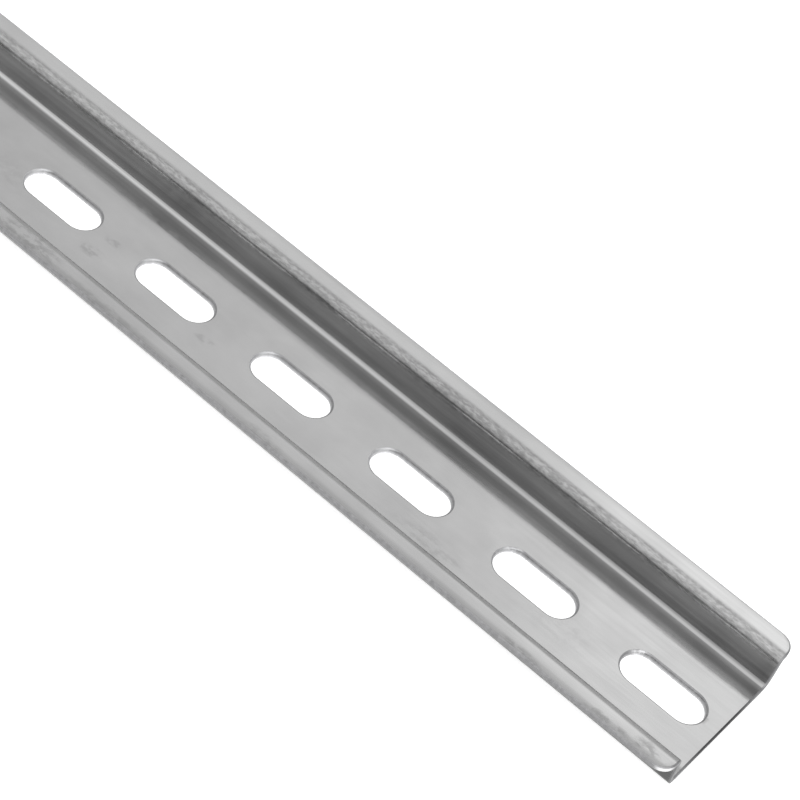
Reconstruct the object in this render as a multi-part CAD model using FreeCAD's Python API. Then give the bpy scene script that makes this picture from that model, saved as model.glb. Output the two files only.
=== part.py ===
"""Slotted top-hat mounting rail, 35 mm wide and 7.5 mm deep, made from one strip of zinc-plated steel.

The strip is bent into a channel with a lip along each side, and a row of oblong holes is punched in its base.
X runs along the rail, Y across it and Z up from the face that rests on the panel. The origin is at the middle
of that face. Sizes are in millimetres.
"""
import FreeCAD
import Part
import math
import os

# Section of the rail. The walls lean outwards a little, from the width at their foot
rail_width = 35.0
base_width = 27.0
rail_height = 7.5
sheet_thickness = 1.0
foot_bend_inside_radius = 1.0
head_bend_inside_radius = 0.5
wall_lean = 0.6

# Length, and the rounded corners that the lips have where the rail is cut
rail_length = 300.0
lip_corner_radius = 2.75

# Oblong holes in the base, with the rounded rim that the punch leaves on the upper side
slot_length = 15.0
slot_width = 6.2
slot_pitch = 25.0
first_slot_inset = 10.7
slot_rim_radius = 0.35

# How far the punch runs past both faces of the sheet, and how close two coordinates count as the same
punch_overrun = 1.0
same = 1e-6

# Places in the section that follow from these sizes
foot_bend_outside_radius = foot_bend_inside_radius + sheet_thickness
head_bend_outside_radius = head_bend_inside_radius + sheet_thickness
lip_edge = rail_width / 2
under_lip = rail_height - sheet_thickness
lean_angle = math.atan2(wall_lean, rail_height)
wall_thickness_across = sheet_thickness / math.cos(lean_angle)


def wall_outside(z):
    """Distance of the wall's outer face from the middle of the rail, at height z."""
    return base_width / 2 + wall_lean * z / rail_height


def wall_inside(z):
    return wall_outside(z) - wall_thickness_across


def both_sides(half):
    """Points (y, z) of the right half of the section, followed by their mirror images."""
    return half + [(-y, z) for y, z in reversed(half)]


# Corners of the right half of the section, before its bends are rounded
foot_outside = (wall_outside(0), 0)
foot_inside = (wall_inside(sheet_thickness), sheet_thickness)
head_outside = (wall_outside(under_lip), under_lip)
head_inside = (wall_inside(rail_height), rail_height)


def square_section():
    """Face across the rail with its bends still square."""
    half = [foot_outside, head_outside, (lip_edge, under_lip), (lip_edge, rail_height), head_inside, foot_inside]
    corners = [FreeCAD.Vector(-rail_length / 2, y, z) for y, z in both_sides(half)]
    return Part.Face(Part.makePolygon(corners + corners[:1]))


def edges_at(solid, **place):
    """The edges that hold these coordinates at both of their ends, such as y=12.5, z=1."""
    return [
        edge
        for edge in solid.Edges
        if all(abs(getattr(end.Point, axis) - value) < same for end in edge.Vertexes for axis, value in place.items())
    ]


def round_bend(solid, corner, radius):
    """Rounds the edges that run along the rail through this corner of the section, on both sides."""
    for y, z in both_sides([corner]):
        solid = solid.makeFillet(radius, edges_at(solid, y=y, z=z))
    return solid


def lip_flat_width():
    """Width of a lip's upper face, from its outer edge to the bend."""
    bend_reach = head_bend_outside_radius * math.tan(math.pi / 4 - lean_angle / 2)
    return lip_edge - head_inside[0] - bend_reach


def round_lip_corners(solid):
    """Rounds the four outer corners of the lips, seen from above. A narrow lip leaves less room for them."""
    radius = min(lip_corner_radius, 0.95 * lip_flat_width())
    for x in (-rail_length / 2, rail_length / 2):
        for y in (-lip_edge, lip_edge):
            solid = solid.makeFillet(radius, edges_at(solid, x=x, y=y))
    return solid


def folded_strip():
    """The strip bent to its section and cut to length, before its holes."""
    strip = square_section().extrude(FreeCAD.Vector(rail_length, 0, 0))
    strip = round_bend(strip, foot_inside, foot_bend_inside_radius)
    strip = round_bend(strip, foot_outside, foot_bend_outside_radius)
    strip = round_bend(strip, head_outside, head_bend_inside_radius)
    strip = round_bend(strip, head_inside, head_bend_outside_radius)
    return round_lip_corners(strip)


def slot_centres():
    """Places along X of the holes, counted from the end at +X."""
    count = int((rail_length - 2 * first_slot_inset) // slot_pitch) + 1
    return [rail_length / 2 - first_slot_inset - n * slot_pitch for n in range(count)]


def slot_punch(x):
    """The oblong punch that makes the hole centred at x."""
    radius = slot_width / 2
    reach = slot_length / 2 - radius
    depth = sheet_thickness + 2 * punch_overrun
    foot = FreeCAD.Vector(x, 0, -punch_overrun)
    middle = Part.makeBox(2 * reach, slot_width, depth, foot - FreeCAD.Vector(reach, radius, 0))
    ends = [Part.makeCylinder(radius, depth, foot + FreeCAD.Vector(side * reach, 0, 0)) for side in (-1, 1)]
    return middle.fuse(ends).removeSplitter()


def round_slot_rims(solid):
    """Rounds the upper edges of the holes, where the punch draws the sheet down."""
    upper = edges_at(solid, z=sheet_thickness)
    rims = [edge for edge in upper if all(abs(end.Point.y) < slot_width / 2 + same for end in edge.Vertexes)]
    return solid.makeFillet(slot_rim_radius, rims)


def din_rail():
    punched = folded_strip().cut([slot_punch(x) for x in slot_centres()])
    return round_slot_rims(punched)


os.makedirs("parts", exist_ok=True)
rail = din_rail()
print("valid", rail.isValid(), "volume", round(rail.Volume, 1), "faces", len(rail.Faces))
rail.exportStep("parts/din_rail.step")
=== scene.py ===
"""Looks of a slotted top-hat mounting rail in zinc-plated steel, seen from above one of its cut ends.

The rail is drawn as it is made. A flat strip with its slots and rounded corners is laid out in coordinates
of its own: along the rail, across the strip and through the sheet. It is then folded over the section of the
part. Sizes are in millimetres until the mesh is made.
"""
import math

import bmesh
import bpy
import numpy as np
from mathutils import Matrix, Vector


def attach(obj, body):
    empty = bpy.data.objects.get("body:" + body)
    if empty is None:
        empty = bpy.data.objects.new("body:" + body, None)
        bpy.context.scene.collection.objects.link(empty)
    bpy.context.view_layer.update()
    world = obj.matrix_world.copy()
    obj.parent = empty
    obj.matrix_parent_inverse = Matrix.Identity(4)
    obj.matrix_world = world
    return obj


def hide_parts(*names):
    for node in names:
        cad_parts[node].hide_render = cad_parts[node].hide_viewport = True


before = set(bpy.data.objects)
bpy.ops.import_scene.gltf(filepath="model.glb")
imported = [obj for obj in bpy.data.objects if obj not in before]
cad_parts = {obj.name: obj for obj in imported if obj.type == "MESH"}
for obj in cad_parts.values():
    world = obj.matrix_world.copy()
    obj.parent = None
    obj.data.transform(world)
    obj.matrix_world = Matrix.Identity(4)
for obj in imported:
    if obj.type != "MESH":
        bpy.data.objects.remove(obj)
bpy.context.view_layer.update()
MM = 0.001

# Section and length of the part
WIDTH, HEIGHT, SHEET = 35.0, 7.5, 1.0
BASE_WIDTH, WALL_LEAN = 27.0, 0.6
FOOT_INSIDE, HEAD_INSIDE = 1.0, 0.5
LENGTH, LIP_CORNER = 300.0, 2.75
SLOT_LENGTH, SLOT_WIDTH, SLOT_PITCH, FIRST_SLOT = 15.0, 6.2, 25.0, 10.7
SLOT_COUNT = 12

# What cutting leaves on an edge. The upper side is drawn down, by this width and depth, and more deeply in a
# punched slot than at a slit edge. The lower side has a small rounded burr
CUT_ROLL, SLOT_ROLL = (0.28, 0.14), (0.38, 0.6)
CUT_BURR = 0.05

# A bend starts and ends gently: how far along the strip its curvature takes to build up, at the foot and the
# head of a wall. A wall is bowed a little. A lip droops at its slit edge, more on the near side
FOOT_EASE, HEAD_EASE = 1.1, 1.2
WALL_BOW = 0.04
DROOP_WIDTH, NEAR_DROOP, FAR_DROOP = 1.4, 0.13, 0.03

# How finely the strip is divided
BEND_SAMPLES = 240
STRAIGHT_STEPS, CORNER_STEPS, ARC_STEPS, RING_STEPS = 6, 6, 6, 4
FOOT_STEPS, WALL_STEPS, HEAD_STEPS, LIP_CORNER_STEPS = 16, 6, 18, 12
CUT_ROLL_STEPS, SLOT_ROLL_STEPS, CUT_WALL_STEPS, BURR_STEPS = 4, 6, 4, 2
SAME_POINT = 2e-6

# Materials, by their place in the mesh
PLATED, SHEARED = 0, 1

lean = math.atan2(WALL_LEAN, HEIGHT)
turn = math.pi / 2 - lean


def lerp(a, b, n):
    """n equal steps from a to b, both ends included."""
    return [a + (b - a) * k / n for k in range(n + 1)]


def eased(x):
    return x ** 2 * (3 - 2 * x)


def middle_of_wall(z):
    """Distance of the middle of the wall's sheet from the middle of the rail, at height z."""
    return BASE_WIDTH / 2 + WALL_LEAN * z / HEIGHT - SHEET / math.cos(lean) / 2


class Bend:
    """One bend of the strip's middle line, from a level start up to the wall's lean."""

    def __init__(self, inside, ease):
        self.length = (inside + SHEET / 2) * turn + ease
        step = self.length / BEND_SAMPLES
        self.s = np.linspace(0, self.length, BEND_SAMPLES + 1)
        start, end = np.clip(self.s / ease, 0, 1), np.clip((self.length - self.s) / ease, 0, 1)
        curvature = np.minimum(eased(start), eased(end))
        self.angle = np.concatenate([[0], np.cumsum((curvature[1:] + curvature[:-1]) / 2)])
        self.angle *= turn / self.angle[-1]
        half = (self.angle[1:] + self.angle[:-1]) / 2
        self.y = np.concatenate([[0], np.cumsum(np.cos(half) * step)])
        self.z = np.concatenate([[0], np.cumsum(np.sin(half) * step)])
        # How far the bend's ends are from the corner where its two straights would meet
        self.reach = self.y[-1] - self.z[-1] / math.tan(turn)

    def at(self, s):
        """Place (y, z) and angle at a distance from the bend's start."""
        return tuple(float(np.interp(s, self.s, values)) for values in (self.y, self.z, self.angle))


foot_bend, head_bend = Bend(FOOT_INSIDE, FOOT_EASE), Bend(HEAD_INSIDE, HEAD_EASE)
foot_corner = (middle_of_wall(SHEET / 2), SHEET / 2)
head_corner = (middle_of_wall(HEIGHT - SHEET / 2), HEIGHT - SHEET / 2)
wall_start = (foot_corner[0] + foot_bend.reach * math.sin(lean),
              foot_corner[1] + foot_bend.reach * math.cos(lean))
wall_run = math.dist(foot_corner, head_corner) - foot_bend.reach - head_bend.reach
lip_start = head_corner[0] + head_bend.reach

# Where each stretch starts along the strip's middle line, from the middle of the base to the edge of a lip
FOOT = foot_corner[0] - foot_bend.reach
WALL = FOOT + foot_bend.length
HEAD = WALL + wall_run
LIP = HEAD + head_bend.length
EDGE = LIP + WIDTH / 2 - lip_start


def on_wall(run):
    """Place (y, z) and angle this far up the wall, which is bowed most at mid-height."""
    phase = math.pi * run / wall_run
    bow = WALL_BOW * math.sin(phase) ** 2
    slope = WALL_BOW * math.pi * math.sin(2 * phase) / wall_run
    y = wall_start[0] + run * math.sin(lean) + bow * math.cos(lean)
    z = wall_start[1] + run * math.cos(lean) - bow * math.sin(lean)
    return y, z, turn - math.atan(slope)


def on_lip(far, droop):
    """Place (y, z) and angle on a lip. It droops, and is drawn in by what its tilt would add to the width."""
    out = max(0.0, (far - EDGE) / DROOP_WIDTH + 1)
    slope = 2 * droop / DROOP_WIDTH
    overhang = (SHEET / 2 - CUT_ROLL[1]) * math.sin(math.atan(slope))
    return (lip_start + far - LIP - overhang * out ** 2, HEIGHT - SHEET / 2 - droop * out ** 2,
            -math.atan(slope * out))


def fold(across):
    """Point (y, z) on the strip's middle line, and the normal there towards the open side."""
    side, far = (-1 if across < 0 else 1), abs(across)
    if far <= FOOT:
        y, z, angle = far, SHEET / 2, 0.0
    elif far <= WALL:
        y, z, angle = foot_bend.at(far - FOOT)
        y, z = FOOT + y, SHEET / 2 + z
    elif far <= HEAD:
        y, z, angle = on_wall(far - WALL)
    elif far <= LIP:
        y, z, angle = head_bend.at(LIP - far)
        y, z = lip_start - y, HEIGHT - SHEET / 2 - z
    else:
        y, z, angle = on_lip(far, NEAR_DROOP if side < 0 else FAR_DROOP)
    return (side * y, z), (-side * math.sin(angle), math.cos(angle))


class Strip:
    """Collects quads whose corners are (along, across, height through the sheet), and folds them."""

    def __init__(self):
        self.corners, self.faces, self.materials = [], [], []

    def grid(self, rows, material=PLATED):
        """Quads between rows of points."""
        start = len(self.corners)
        for row in rows:
            self.corners.extend(row)
        width = len(rows[0])
        for r in range(len(rows) - 1):
            for c in range(width - 1):
                a = start + r * width + c
                self.faces.append((a, a + 1, a + width + 1, a + width))
                self.materials.append(material)

    def folded(self):
        points = []
        for along, across, height in self.corners:
            (y, z), (ny, nz) = fold(across)
            points.append((along * MM, (y + height * ny) * MM, (z + height * nz) * MM))
        return points


def edge_profile(roll, roll_steps):
    """Inset from the cut and height through the sheet, from the upper face round to the lower one."""
    width, depth = roll
    upper = [(width * (1 - math.sin(a)), SHEET / 2 - depth * (1 - math.cos(a)))
             for a in lerp(0, math.pi / 2, roll_steps)]
    wall = [(0.0, h) for h in lerp(SHEET / 2 - depth, -SHEET / 2 + CUT_BURR, CUT_WALL_STEPS)[1:]]
    lower = [(CUT_BURR * (1 - math.cos(a)), -SHEET / 2 + CUT_BURR * (1 - math.sin(a)))
             for a in lerp(0, math.pi / 2, BURR_STEPS)[1:]]
    return upper + wall + lower + [(width, -SHEET / 2)]


# Places along the rail: the slots' centres, and the borders of the stretch of base round each slot
end_line = LENGTH / 2 - CUT_ROLL[0]
slots = [LENGTH / 2 - FIRST_SLOT - n * SLOT_PITCH for n in range(SLOT_COUNT)]
borders = [end_line] + [(a + b) / 2 for a, b in zip(slots, slots[1:])] + [-end_line]


def slot_quarter():
    """Points and outward normals of a quarter of a slot's outline, from its long side round to its end."""
    radius = SLOT_WIDTH / 2
    reach = SLOT_LENGTH / 2 - radius
    points = [(x, radius, 0.0, 1.0) for x in lerp(0, reach, STRAIGHT_STEPS)]
    for angle in lerp(0, math.pi / 2, CORNER_STEPS + ARC_STEPS)[1:]:
        nx, ny = math.sin(angle), math.cos(angle)
        points.append((reach + radius * nx, radius * ny, nx, ny))
    return points


def cell_quarter(reach):
    """Points of a quarter of the base round a slot, from the middle of its side to the middle of its end."""
    side = [(x, FOOT) for x in lerp(0, reach, STRAIGHT_STEPS + CORNER_STEPS)]
    return side + [(reach, y) for y in lerp(FOOT, 0, ARC_STEPS)[1:]]


def add_base(strip):
    """Both faces of the base, in rings round each slot, and the slots' rimmed walls."""
    slot, profile = slot_quarter(), edge_profile(SLOT_ROLL, SLOT_ROLL_STEPS)
    for centre, high, low in zip(slots, borders, borders[1:]):
        for sx, reach in ((1, high - centre), (-1, centre - low)):
            cell = cell_quarter(reach)
            for sy in (1, -1):
                for face in (SHEET / 2, -SHEET / 2):
                    strip.grid([[(centre + sx * ((x + nx * SLOT_ROLL[0]) * (1 - f) + ox * f),
                                  sy * ((y + ny * SLOT_ROLL[0]) * (1 - f) + oy * f), face)
                                 for (x, y, nx, ny), (ox, oy) in zip(slot, cell)]
                                for f in lerp(0, 1, RING_STEPS)])
                strip.grid([[(centre + sx * (x + nx * inset), sy * (y + ny * inset), height)
                             for x, y, nx, ny in slot] for inset, height in profile], SHEARED)


# Stations along the rail, and across one side of it up to the rounded corner of a lip
along = []
for centre, high, low in zip(slots, borders, borders[1:]):
    steps = STRAIGHT_STEPS + CORNER_STEPS
    along += lerp(high, centre, steps)[:-1] + lerp(centre, low, steps)[:-1]
along.append(-end_line)
corner_start, corner_along = EDGE - LIP_CORNER, LENGTH / 2 - LIP_CORNER
corner_turns = lerp(0, math.pi / 2, LIP_CORNER_STEPS)[1:]
across = (lerp(FOOT, WALL, FOOT_STEPS)[:-1] + lerp(WALL, HEAD, WALL_STEPS)[:-1]
          + lerp(HEAD, corner_start, HEAD_STEPS))


def drawn_in(x, end):
    """A station along the rail, drawn in where the rounded corner of a lip ends it sooner."""
    for outermost, sign in ((slots[0], 1), (slots[-1], -1)):
        if sign * x > sign * outermost:
            reach = end_line - sign * outermost
            return outermost + (x - outermost) * (end - sign * outermost) / reach
    return x


def add_sides(strip):
    """Both faces of the bends, walls and lips."""
    inner_corner = LIP_CORNER - CUT_ROLL[0]
    stations = [(s, end_line) for s in across]
    stations += [(corner_start + inner_corner * math.sin(a), corner_along + inner_corner * math.cos(a))
                 for a in corner_turns]
    for side in (1, -1):
        for face in (SHEET / 2, -SHEET / 2):
            strip.grid([[(drawn_in(x, end), side * s, face) for x in along] for s, end in stations])


def add_cuts(strip):
    """The cut all round the strip: its two ends with the lips' rounded corners, and the lips' long edges."""
    profile = edge_profile(CUT_ROLL, CUT_ROLL_STEPS)
    outline = [(LENGTH / 2, s, 1.0, 0.0) for s in lerp(0, FOOT, ARC_STEPS) + across[1:]]
    outline += [(corner_along + LIP_CORNER * math.cos(a), corner_start + LIP_CORNER * math.sin(a),
                 math.cos(a), math.sin(a)) for a in corner_turns]
    for sx in (1, -1):
        for sy in (1, -1):
            strip.grid([[(sx * (x - nx * inset), sy * (s - ns * inset), height) for x, s, nx, ns in outline]
                        for inset, height in profile], SHEARED)
    lip_stations = [drawn_in(x, corner_along) for x in along]
    for side in (1, -1):
        strip.grid([[(x, side * (EDGE - inset), height) for x in lip_stations]
                    for inset, height in profile], SHEARED)


class Graph:
    """Builds nodes with short calls. An input is another node's output or a plain value."""

    def __init__(self, tree):
        self.tree = tree

    def node(self, kind, **settings):
        made = self.tree.nodes.new(kind)
        for name, value in settings.items():
            setattr(made, name, value)
        return made

    def feed(self, socket, value):
        if isinstance(value, bpy.types.NodeSocket):
            self.tree.links.new(value, socket)
        else:
            socket.default_value = value

    def maths(self, operation, *values):
        made = self.node("ShaderNodeMath", operation=operation)
        for socket, value in zip(made.inputs, values):
            self.feed(socket, value)
        return made.outputs[0]

    def vector_maths(self, operation, vector, output):
        made = self.node("ShaderNodeVectorMath", operation=operation)
        self.feed(made.inputs[0], vector)
        return made.outputs[output]

    def parts(self, vector):
        """The three parts of a vector."""
        made = self.node("ShaderNodeSeparateXYZ")
        self.feed(made.inputs[0], vector)
        return made.outputs[0], made.outputs[1], made.outputs[2]

    def mapped(self, vector, scale, location=(0, 0, 0)):
        made = self.node("ShaderNodeMapping")
        for name, value in (("Vector", vector), ("Scale", scale), ("Location", location)):
            self.feed(made.inputs[name], value)
        return made.outputs["Vector"]

    def mixed(self, share, first, second):
        """Two colours, mixed with this share of the second. The colours are inputs 6 and 7 of a Mix node."""
        made = self.node("ShaderNodeMix", data_type="RGBA")
        for number, value in ((0, share), (6, first), (7, second)):
            self.feed(made.inputs[number], value)
        return made.outputs[2]

    def spread(self, value, low, high, to_low, to_high):
        """The value's stretch from low to high, eased on to the one from to_low to to_high."""
        made = self.node("ShaderNodeMapRange", interpolation_type="SMOOTHSTEP")
        for name, number in (("Value", value), ("From Min", low), ("From Max", high), ("To Min", to_low),
                             ("To Max", to_high)):
            self.feed(made.inputs[name], number)
        return made.outputs[0]

    def window(self, value, limits):
        """Rises from 0 to 1 between the first two limits, and falls again between the last two of four."""
        rise = self.spread(value, limits[0], limits[1], 0.0, 1.0)
        if len(limits) == 2:
            return rise
        return self.maths("MULTIPLY", rise, self.spread(value, limits[2], limits[3], 1.0, 0.0))

    def place(self, mirrored=False):
        """Where a point of the surface is, in mm. Mirrored, all ends and sides count as those at +X and +Y."""
        where = self.mapped(self.node("ShaderNodeTexCoord").outputs["Object"], (1 / MM, 1 / MM, 1 / MM))
        return self.vector_maths("ABSOLUTE", where, "Vector") if mirrored else where

    def noise(self, per_mm, detail=3.0, roughness=0.55, offset=(0, 0, 0)):
        """Noise between 0 and 1 with this many cells a millimetre along X, Y and Z."""
        made = self.node("ShaderNodeTexNoise")
        for name, value in (("Vector", self.mapped(self.place(), per_mm, offset)), ("Scale", 1.0),
                            ("Detail", detail), ("Roughness", roughness)):
            self.feed(made.inputs[name], value)
        return made.outputs["Fac"]

    def spot(self, centre, size, ragged=0.0, mirrored=False):
        """1 in the middle of an ellipsoid at this place, falling to 0 at its rim, which can be ragged."""
        middle = [-c / s for c, s in zip(centre, size)]
        around = self.mapped(self.place(mirrored), [1 / s for s in size], middle)
        far = self.vector_maths("LENGTH", around, "Value")
        if ragged:
            noise = self.noise(RAGGED_CELLS, detail=4)
            far = self.maths("SUBTRACT", self.maths("MULTIPLY_ADD", noise, ragged, far), ragged / 2)
        return self.spread(far, 0.3, 1.0, 1.0, 0.0)

    def tinted(self, base, share):
        """A base colour, times a share that varies over the surface."""
        colour = self.node("ShaderNodeCombineColor")
        for socket, part in zip(colour.inputs, base):
            self.feed(socket, self.maths("MULTIPLY", share, part))
        return colour.outputs[0]

    def relief(self, height, depth):
        """Bump of this depth in mm, for heights from 0 to 1."""
        bump = self.node("ShaderNodeBump")
        for name, value in (("Strength", 1.0), ("Distance", depth * MM), ("Height", height)):
            self.feed(bump.inputs[name], value)
        return bump.outputs["Normal"]


# How much light the plating and the bare cut give back, as red, green and blue
STEEL = (0.42, 0.42, 0.42)
CUT_STEEL = (0.30, 0.30, 0.305)

# Zones of the section with a look of their own, partly painted light, as limits in mm across the rail and in
# height
WALL_ZONE = (11.6, 12.4), (1.3, 2.2, 5.4, 6.8)
HEAD_ZONE = (12.0, 12.7, 14.0, 15.0), (5.0, 6.0)
FOOT_ZONE = (11.2, 11.8), (1.0, 1.2, 1.5, 2.1)
CORNER_ZONE = (9.2, 10.2, 10.8, 11.5), (0.4, 0.7)

# Smudges that the photo shows, as place, size and strength: on the base near its slots, then on the near lip,
# and last painted shade on the base near the far wall, at the ragged edge of the shade along its foot
MARKS = [((24.8, -4.6, 1), (3.0, 1.6, 1), 0.20), ((26.2, -0.4, 1), (2.4, 1.1, 1), 0.16),
         ((49.4, -4.0, 1), (2.6, 1.5, 1), 0.14), ((99.0, -8.2, 1), (10.0, 4.0, 1), 0.13),
         ((122.0, -3.5, 1), (8.0, 4.0, 1), 0.07), ((4.0, -3.0, 1), (9.0, 4.0, 1), 0.06),
         ((21.0, -15.9, 7.5), (9.0, 2.4, 1.5), 0.24), ((38.0, -16.8, 7.5), (12.0, 1.2, 1.5), 0.12),
         ((71.0, -16.8, 7.5), (5.0, 1.3, 1.5), 0.16), ((122.0, -17.1, 7.5), (5.0, 1.2, 1.5), 0.24),
         ((138.5, -16.9, 7.5), (6.0, 1.3, 1.5), 0.26), ((145.2, -16.0, 7.5), (2.8, 1.6, 1.5), 0.34),
         ((27.0, 9.0, 1), (12.0, 1.1, 1), 0.18)]
MARK_RAGGED, RAGGED_CELLS = 0.7, (0.5, 1.2, 1.2)

# The outside of a wall is darkened near the ends, below the lip: painted shade
UNDER_LIP_SHADE_PLACE, UNDER_LIP_SHADE_SIZE = (LENGTH / 2, 13.6, 2.5), (6.0, 1.0, 5.0)
UNDER_LIP_SHADE_RAGGED, UNDER_LIP_SHADE_SHARE = 0.4, 0.6

# Gradual changes of the light that is given back: from one place in mm to another, and from one share to
# another. On the plating they are painted light: a highlight along the rail at the foot of a wall, shade along
# it in the corner of the base, and a lighter far lip across it
FOOT_PAINTED_HIGHLIGHT, CORNER_SHADE = (60, 150, 0.42, 0.0), (110, 150, -0.22, -0.36)
FAR_LIP_PAINTED_LIGHT = (14.3, 15.2, 0.0, 0.13)
# On the cut, a painted highlight across the rail at the far lip's edge, and changes on the ends and up the
# walls of the slots
FAR_EDGE_HIGHLIGHT, END_SHARE = (17.0, 17.2, 0.0, 0.7), (4, 11, 0.23, 0.75)
SLOT_LOWER, SLOT_UPPER = (0.1, 0.55, 1.0, 0.0), (0.55, 0.95, 0.15, 0.0)

# In a slot, measured from its centre: a painted highlight on its wall at the far left, on the slots near the
# end that the photo shows, and a paler left end, a weaker painted highlight, on the others. One gives way to
# the other along the rail
SLOT_HIGHLIGHT_ALONG, SLOT_HIGHLIGHT_ACROSS = (-8.0, -7.2, -5.4, -4.6), (1.2, 2.2, 3.3, 3.5)
PALE_HIGHLIGHT_ALONG = (-8.0, -7.7, -6.6, -5.4)
SLOT_HIGHLIGHT_STRENGTH, PALE_HIGHLIGHT_STRENGTH = (85, 130, 0.1, 0.8), (85, 130, 0.55, 0.0)

# The lips' rounded corners carry a burnish below their upper edge, which makes them less rough, and a painted
# highlight there, which makes them brighter
BURNISH_AND_HIGHLIGHT_PLACE, BURNISH_AND_HIGHLIGHT_SIZE = (LENGTH / 2 - 0.8, WIDTH / 2 - 0.9, 7.0), (1.9, 2.0, 1.4)
BURNISH_AND_HIGHLIGHT_TOP, PAINTED_HIGHLIGHT_GAIN, BURNISHED_ROUGHNESS = (7.2, 7.35, 1.0, 0.0), 2.6, -0.2

# Roughness, as gradual changes with the noises, and across the rail on the heads. The near head is duller
CLOUD_ROUGHNESS, STREAK_ROUGHNESS = (0.35, 0.65, 0.10, 0.15), (0.35, 0.7, 0.0, 0.06)
HEAD_ROUGHNESS, GRAIN_ROUGHNESS = (-5, 5, 0.22, 0.10), (0.3, 0.7, 0.32, 0.5)

# How deep the fine relief of the plating and of the cut is
PLATED_RELIEF, CUT_RELIEF = 0.013, 0.02


def metal(name):
    """A new metal, with the graph and the shader of its nodes."""
    made = bpy.data.materials.new(name)
    made.use_nodes = True
    shader = made.node_tree.nodes["Principled BSDF"]
    shader.inputs["Metallic"].default_value = 1.0
    return made, Graph(made.node_tree), shader


def plated_steel():
    """Bright zinc plating over cold-rolled strip: rolling streaks along the rail, clouds, handling marks, and
    painted highlights and shade.
    """
    steel, g, shader = metal("zinc_plated_steel")
    x, y, z = g.parts(g.place())
    sideways = g.parts(g.place(mirrored=True))[1]
    wall, head, foot, corner = (g.maths("MULTIPLY", g.window(sideways, sides), g.window(z, heights))
                                for sides, heights in (WALL_ZONE, HEAD_ZONE, FOOT_ZONE, CORNER_ZONE))
    rough_head = g.maths("MULTIPLY", head, g.spread(y, 11, 12, 0.25, 1.0))

    # Clouds and mottling all over, and streaks along the rail, which are strong on the walls
    clouds = g.noise((0.05, 0.09, 0.09), detail=4)
    mottle = g.noise((0.12, 0.16, 0.16), detail=2.5, offset=(3, 7, 1))
    streaks = g.noise((0.03, 1.1, 1.1), detail=4, roughness=0.65, offset=(5, 2, 9))
    share = g.maths("MULTIPLY_ADD", clouds, 0.30, 0.85)
    share = g.maths("MULTIPLY_ADD", mottle, 0.22, g.maths("SUBTRACT", share, 0.11))
    contrast = g.maths("MULTIPLY_ADD", wall, 0.64, 0.07)
    share = g.maths("MULTIPLY_ADD", g.maths("SUBTRACT", streaks, 0.5), contrast, share)

    # Flecks where the head was bent, then painted light: a highlight at a wall's foot, a lighter far lip and
    # shade in the base's corner
    scuffs = g.noise((0.9, 2.4, 2.4), detail=4, roughness=0.6, offset=(6, 1, 3))
    flecks = g.maths("MULTIPLY", g.spread(scuffs, 0.34, 0.66, -0.16, 0.20), rough_head)
    share = g.maths("SUBTRACT", share, flecks)
    # Painted highlight along the foot of each wall, fading out towards the end at +X
    share = g.maths("MULTIPLY_ADD", foot, g.spread(x, *FOOT_PAINTED_HIGHLIGHT), share)
    # Painted light: the far lip is made lighter than the near one
    share = g.maths("ADD", share, g.spread(y, *FAR_LIP_PAINTED_LIGHT))
    # Painted shade in the base's corners by the walls' feet, deepest towards the end at +X
    share = g.maths("MULTIPLY_ADD", corner, g.spread(x, *CORNER_SHADE), share)

    # Smudges, and the painted shade near the far wall, broken up into blotches
    blotches = g.spread(g.noise((0.5, 0.8, 0.8), detail=4, roughness=0.6), 0.42, 0.6, 0.1, 1.0)
    for centre, size, strength in MARKS:
        mark = g.maths("MULTIPLY", g.spot(centre, size, ragged=MARK_RAGGED), blotches)
        share = g.maths("SUBTRACT", share, g.maths("MULTIPLY", mark, strength))
    # Painted shade on the outsides of the walls, below the lips near the ends
    under_lip_shade = g.spot(UNDER_LIP_SHADE_PLACE, UNDER_LIP_SHADE_SIZE, ragged=UNDER_LIP_SHADE_RAGGED, mirrored=True)
    share = g.maths("MULTIPLY", share, g.maths("MULTIPLY_ADD", under_lip_shade, -UNDER_LIP_SHADE_SHARE, 1.0))
    g.feed(shader.inputs["Base Color"], g.tinted(STEEL, share))

    # The heads are duller, the near one more
    roughness = g.maths("ADD", g.spread(clouds, *CLOUD_ROUGHNESS), g.spread(streaks, *STREAK_ROUGHNESS))
    roughness = g.maths("MULTIPLY_ADD", head, g.spread(y, *HEAD_ROUGHNESS), roughness)
    g.feed(shader.inputs["Roughness"], roughness)

    ripple = g.noise((0.04, 0.55, 0.55), detail=3, offset=(1, 4, 2))
    nicks = g.noise((0.3, 0.9, 0.9), detail=2, offset=(8, 3, 6))
    height = g.maths("MULTIPLY_ADD", nicks, g.maths("MULTIPLY_ADD", rough_head, 0.7, 0.18), ripple)
    g.feed(shader.inputs["Normal"], g.relief(height, PLATED_RELIEF))
    return steel


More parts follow.
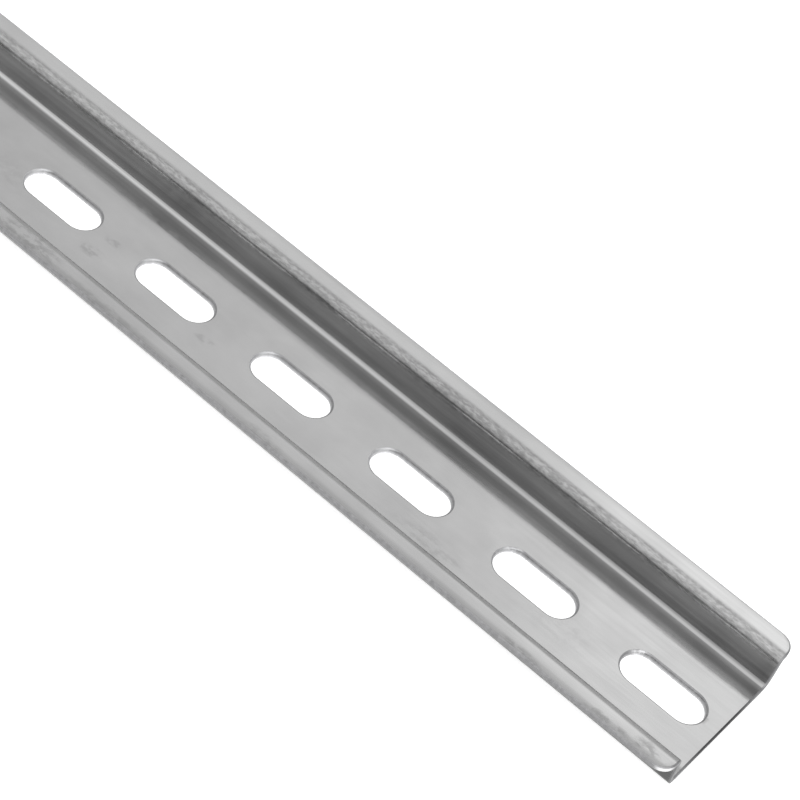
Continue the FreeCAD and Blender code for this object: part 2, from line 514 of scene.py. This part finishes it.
def sheared_steel():
    """The cut through the strip: dull, darkest over the middle of an end, with burnish and a painted highlight
    at the lips' corners.
    """
    sheared, g, shader = metal("zinc_plated_steel_sheared")
    x, y, z = g.parts(g.place())
    lengthwise, sideways, _ = g.parts(g.place(mirrored=True))
    grain = g.noise((1.6, 1.6, 0.5), detail=4, offset=(2, 2, 5))
    share = g.maths("MULTIPLY_ADD", grain, 0.9, 0.65)

    # The slots' walls are lighter towards the bottom
    in_slot = g.spread(sideways, 4, 6, 1.0, 0.0)
    lighter = g.maths("ADD", g.spread(z, *SLOT_LOWER), g.spread(z, *SLOT_UPPER))
    share = g.maths("MULTIPLY", share, g.maths("MULTIPLY_ADD", in_slot, lighter, 1.0))
    from_slot = g.maths("WRAP", g.maths("SUBTRACT", x, slots[0]), SLOT_PITCH / 2, -SLOT_PITCH / 2)
    # Painted highlights on the slots' walls at their left ends
    slot_highlight = g.maths("MULTIPLY", g.window(from_slot, SLOT_HIGHLIGHT_ALONG), g.window(y, SLOT_HIGHLIGHT_ACROSS))
    slot_highlight = g.maths("MULTIPLY", slot_highlight, g.spread(grain, 0.4, 0.6, 0.2, 1.2))
    share = g.maths("MULTIPLY_ADD", slot_highlight, g.spread(x, *SLOT_HIGHLIGHT_STRENGTH), share)
    pale_highlight = g.maths("MULTIPLY", g.window(from_slot, PALE_HIGHLIGHT_ALONG), g.spread(x, *PALE_HIGHLIGHT_STRENGTH))
    share = g.maths("MULTIPLY_ADD", pale_highlight, in_slot, share)

    # The far lip's edge gets a painted highlight, and the ends are dark, most of all over the middle
    share = g.maths("ADD", share, g.spread(y, *FAR_EDGE_HIGHLIGHT))
    end = g.spread(lengthwise, LENGTH / 2 - 0.5, LENGTH / 2 - 0.2, 0.0, 1.0)
    end_share = g.maths("SUBTRACT", g.spread(sideways, *END_SHARE), 1.0)
    share = g.maths("MULTIPLY", share, g.maths("MULTIPLY_ADD", end, end_share, 1.0))

    # The lips' rounded corners get a burnish and a painted highlight
    corner = g.spot(BURNISH_AND_HIGHLIGHT_PLACE, BURNISH_AND_HIGHLIGHT_SIZE, mirrored=True)
    burnish_and_highlight = g.maths("MULTIPLY", corner, g.spread(z, *BURNISH_AND_HIGHLIGHT_TOP))
    # Painted highlight at the lips' rounded corners, below their upper edge
    share = g.maths("MULTIPLY_ADD", burnish_and_highlight, PAINTED_HIGHLIGHT_GAIN, share)
    g.feed(shader.inputs["Base Color"], g.tinted(CUT_STEEL, share))
    dull = g.spread(grain, *GRAIN_ROUGHNESS)
    g.feed(shader.inputs["Roughness"], g.maths("MULTIPLY_ADD", burnish_and_highlight, BURNISHED_ROUGHNESS, dull))
    g.feed(shader.inputs["Normal"], g.relief(grain, CUT_RELIEF))
    return sheared


# The rail
strip = Strip()
add_base(strip)
add_sides(strip)
add_cuts(strip)
mesh = bpy.data.meshes.new("rail_strip")
mesh.from_pydata(strip.folded(), [], strip.faces)
mesh.materials.append(plated_steel())
mesh.materials.append(sheared_steel())
mesh.polygons.foreach_set("material_index", strip.materials)
bm = bmesh.new()
bm.from_mesh(mesh)
bmesh.ops.remove_doubles(bm, verts=bm.verts, dist=SAME_POINT)
bmesh.ops.recalc_face_normals(bm, faces=bm.faces)
open_edges = sum(1 for edge in bm.edges if len(edge.link_faces) != 2)
print("strip", len(bm.verts), "points", len(bm.faces), "faces", open_edges, "open edges",
      round(bm.calc_volume() / MM ** 3, 1), "mm3")
bm.to_mesh(mesh)
bm.free()
mesh.polygons.foreach_set("use_smooth", [True] * len(mesh.polygons))
rail = bpy.data.objects.new("rail_strip", mesh)
bpy.context.scene.collection.objects.link(rail)
smoothing = rail.modifiers.new("smoothing", "WEIGHTED_NORMAL")
smoothing.weight = 50

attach(rail, "root")
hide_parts("din_rail")

# Floor: white paper, a hair below the rail, with a glow that the camera sees and a weaker one for the metal.
# Its half width and the gap under the rail are in metres
FLOOR_HALF, FLOOR_GAP = 6.0, 0.00002
FLOOR_SIDES = ((-1, -1), (1, -1), (1, 1), (-1, 1))
PAPER_WHITE, SEEN_GLOW, METAL_GLOW = 0.8, 0.6, 0.2
floor_mesh = bpy.data.meshes.new("floor")
floor_corners = [(sx * FLOOR_HALF, sy * FLOOR_HALF, 0) for sx, sy in FLOOR_SIDES]
floor_mesh.from_pydata(floor_corners, [], [(0, 1, 2, 3)])
floor = bpy.data.objects.new("floor", floor_mesh)
floor.location.z = -FLOOR_GAP
bpy.context.scene.collection.objects.link(floor)
paper = bpy.data.materials.new("floor_white")
paper.use_nodes = True
paper.node_tree.nodes.clear()
g = Graph(paper.node_tree)
rays = g.node("ShaderNodeLightPath").outputs
in_metal = g.maths("MAXIMUM", rays["Is Glossy Ray"], rays["Is Transmission Ray"])
diffuse = g.node("ShaderNodeBsdfDiffuse")
glow = g.node("ShaderNodeEmission")
both = g.node("ShaderNodeAddShader")
g.feed(diffuse.inputs["Color"], (PAPER_WHITE, PAPER_WHITE, PAPER_WHITE, 1))
g.feed(glow.inputs["Strength"],
       g.maths("MULTIPLY_ADD", rays["Is Camera Ray"], SEEN_GLOW, g.maths("MULTIPLY", in_metal, METAL_GLOW)))
g.feed(both.inputs[0], diffuse.outputs[0])
g.feed(both.inputs[1], glow.outputs[0])
g.feed(g.node("ShaderNodeOutputMaterial").inputs["Surface"], both.outputs[0])
floor_mesh.materials.append(paper)

# Studio: a light tent. Its brightness goes by the angle round the rail's own direction, in degrees from the
# front horizon over the top to the back horizon. Bands with such stops lie side by side, from the far left to
# the right, each at the X of the directions that see it. The stops were chosen so that the bends reflect what
# the photo shows
TENT = {
    -0.80: [(0, 0.7), (60, 0.7), (120, 0.7), (180, 0.7)],
    -0.50: [(0, 0.8), (20, 0.8), (40, 0.85), (60, 1.15), (90, 0.9), (110, 0.75), (122, 0.85), (132, 1.05),
            (141, 0.85), (150, 0.45), (160, 0.6), (170, 0.8), (180, 1.3)],
    -0.25: [(0, 0.45), (20, 0.65), (40, 0.7), (60, 0.85), (90, 0.9), (110, 0.8), (122, 0.95), (132, 1.25),
            (141, 0.75), (150, 0.45), (160, 0.6), (170, 0.8), (180, 1.3)],
    -0.16: [(0, 0.5), (20, 0.7), (40, 0.8), (60, 1.2), (90, 1.25), (110, 0.9), (122, 1.05), (132, 1.8),
            (141, 0.9), (150, 0.5), (160, 0.65), (170, 0.9), (180, 1.5)],
    0.25: [(0, 2.2), (60, 1.8), (120, 1.0), (180, 0.6)],
}
TENT_TOP = 2.2
HALF_TURN = 180


def grey(level):
    """A brightness of the tent as a colour, where white is the tent's brightest."""
    return (level / TENT_TOP, level / TENT_TOP, level / TENT_TOP, 1)


def tent_band(graph, turned, stops):
    """The colours of one band, for how far round the tent a direction is, from 0 to 1."""
    made = graph.node("ShaderNodeValToRGB")
    made.color_ramp.interpolation = "LINEAR"
    elements = made.color_ramp.elements
    while len(elements) < len(stops):
        elements.new(0.5)
    for element, (degrees, level) in zip(elements, stops):
        element.position = degrees / HALF_TURN
        element.color = grey(level)
    graph.feed(made.inputs[0], turned)
    return made.outputs[0]


world = bpy.data.worlds.new("studio")
bpy.context.scene.world = world
world.use_nodes = True
g = Graph(world.node_tree)
x, y, z = g.parts(g.node("ShaderNodeTexCoord").outputs["Generated"])
turned = g.maths("DIVIDE", g.maths("ARCTAN2", z, g.maths("MULTIPLY", y, -1.0)), math.pi)
bands = list(TENT.items())
colour = tent_band(g, turned, bands[0][1])
for (low, _), (high, stops) in zip(bands, bands[1:]):
    colour = g.mixed(g.spread(x, low, high, 0.0, 1.0), colour, tent_band(g, turned, stops))
# Past the floor's edge the camera itself sees plain white
colour = g.mixed(g.node("ShaderNodeLightPath").outputs["Is Camera Ray"], colour, grey(1.0))
background = world.node_tree.nodes["Background"]
g.feed(background.inputs["Color"], colour)
background.inputs["Strength"].default_value = TENT_TOP

# Camera, at the photo's viewpoint. Its place is in mm, and its focal length in pixels of the square picture
SENSOR, PICTURE_SIZE, FOCAL = 36.0, 800, 2764
CAMERA_RIGHT = Vector((0.747327, 0.619855, 0.239336))
CAMERA_UP = Vector((-0.599551, 0.473791, 0.645028))
CAMERA_BACK = Vector((0.286428, -0.625541, 0.725712))
CAMERA_PLACE = Vector((202.03, -260.62, 316.73))
camera_data = bpy.data.cameras.new("camera")
camera_data.sensor_width = SENSOR
camera_data.lens = SENSOR * FOCAL / PICTURE_SIZE
camera_data.clip_start = 0.01
camera_data.clip_end = 100
camera = bpy.data.objects.new("camera", camera_data)
bpy.context.scene.collection.objects.link(camera)
turned_camera = Matrix((CAMERA_RIGHT, CAMERA_UP, CAMERA_BACK)).transposed().to_4x4()
turned_camera.translation = CAMERA_PLACE * MM
camera.matrix_world = turned_camera
bpy.context.scene.camera = camera

bpy.context.scene.view_settings.view_transform = "Standard"
